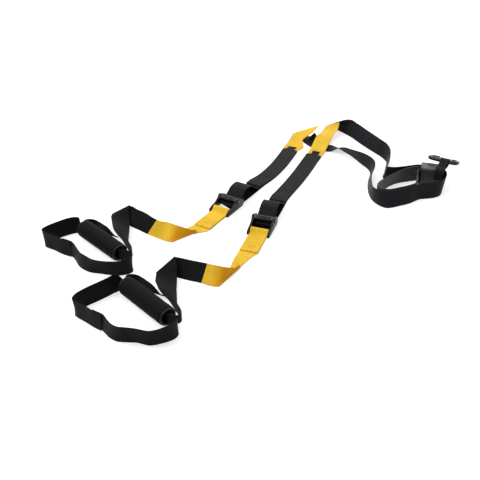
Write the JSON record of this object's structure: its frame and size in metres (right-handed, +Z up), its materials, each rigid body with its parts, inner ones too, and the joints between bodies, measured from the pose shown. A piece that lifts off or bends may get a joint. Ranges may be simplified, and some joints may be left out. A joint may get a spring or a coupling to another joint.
{
  "type": "suspension trainer",
  "caption": "Adjustable strap suspension trainer with foam grips, foot cradles, cam buckles, yellow adjustment tabs and an anchor carabiner.",
  "frame": {"origin": "bottom centre of the bounding box of the trainer as laid out on the floor", "axes": "+Z up from the floor, +X from the handles towards the anchor, +Y away from the viewer in the picture"},
  "size_m": [0.8862, 0.8864, 0.0634],
  "materials": {
    "black_webbing": "woven nylon webbing",
    "anchor_webbing": "woven nylon webbing",
    "yellow_webbing": "woven nylon webbing",
    "foam_rubber": "matte foam rubber",
    "tube_plastic": "satin",
    "buckle_plastic": "satin",
    "steel": "brushed",
    "black_alloy": "black anodised"
  },
  "bodies": {
    "trainer": {"right_foot_cradle_front": "black_webbing", "right_foot_cradle_back": "black_webbing", "right_buckle_frame": "buckle_plastic", "right_cam_pin": "steel", "right_cam_spring": "steel", "right_lower_strap": "yellow_webbing", "right_handle_strap": "black_webbing", "right_adjust_strap": "black_webbing", "right_tail_sleeve": "black_webbing", "right_upper_tab": "yellow_webbing", "right_keeper_patch": "black_webbing", "left_foot_cradle_front": "black_webbing", "left_foot_cradle_back": "black_webbing", "left_buckle_frame": "buckle_plastic", "left_cam_pin": "steel", "left_cam_spring": "steel", "left_lower_strap": "yellow_webbing", "left_handle_strap": "black_webbing", "left_adjust_strap": "black_webbing", "left_tail_sleeve": "black_webbing", "left_upper_tab": "yellow_webbing", "left_keeper_patch": "black_webbing", "main_strap": "black_webbing", "anchor_loop": "anchor_webbing", "keeper_sleeve": "anchor_webbing", "anchor_tab": "black_webbing"},
    "right_grip": {"right_grip_foam": "foam_rubber", "right_grip_tube": "tube_plastic", "right_grip_ring_inner": "tube_plastic", "right_grip_ring_outer": "tube_plastic"},
    "right_cam": {"right_cam_lever": "buckle_plastic"},
    "left_grip": {"left_grip_foam": "foam_rubber", "left_grip_tube": "tube_plastic", "left_grip_ring_inner": "tube_plastic", "left_grip_ring_outer": "tube_plastic"},
    "left_cam": {"left_cam_lever": "buckle_plastic"},
    "carabiner": {"carabiner_body": "black_alloy", "gate_pin": "steel"},
    "gate": {"carabiner_gate": "steel"}
  },
  "joints": [
    {"name": "right_grip_spin", "type": "hinge", "parent": "trainer", "child": "right_grip", "pos_m": [-0.2161, -0.3384, 0.019], "axis": [0.673, -0.7396, 0], "continuous": true},
    {"name": "right_cam_hinge", "type": "hinge", "parent": "trainer", "child": "right_cam", "pos_m": [-0.00343, -0.06192, 0.0183], "axis": [-0.9483, 0.3173, 0], "range_deg": [0, 30], "stiffness_Nm_per_rad": 0.02, "springref_deg": -20.05},
    {"name": "left_grip_spin", "type": "hinge", "parent": "trainer", "child": "left_grip", "pos_m": [-0.3246, -0.1454, 0.019], "axis": [0.6871, -0.7266, 0], "continuous": true},
    {"name": "left_cam_hinge", "type": "hinge", "parent": "trainer", "child": "left_cam", "pos_m": [-0.0763, 0.01958, 0.0183], "axis": [-0.848, 0.5299, 0], "range_deg": [0, 30], "stiffness_Nm_per_rad": 0.02, "springref_deg": -20.05},
    {"name": "carabiner_swing", "type": "hinge", "parent": "trainer", "child": "carabiner", "pos_m": [0.4064, 0.1211, 0.05662], "axis": [0.848, -0.5299, 0], "range_deg": [0, 60]},
    {"name": "gate_hinge", "type": "hinge", "parent": "carabiner", "child": "gate", "pos_m": [0.4023, 0.16245, 0.04465], "axis": [-0.1812, -0.2901, -0.9397], "range_deg": [0, 24], "stiffness_Nm_per_rad": 0.02, "springref_deg": -20.05}
  ]
}
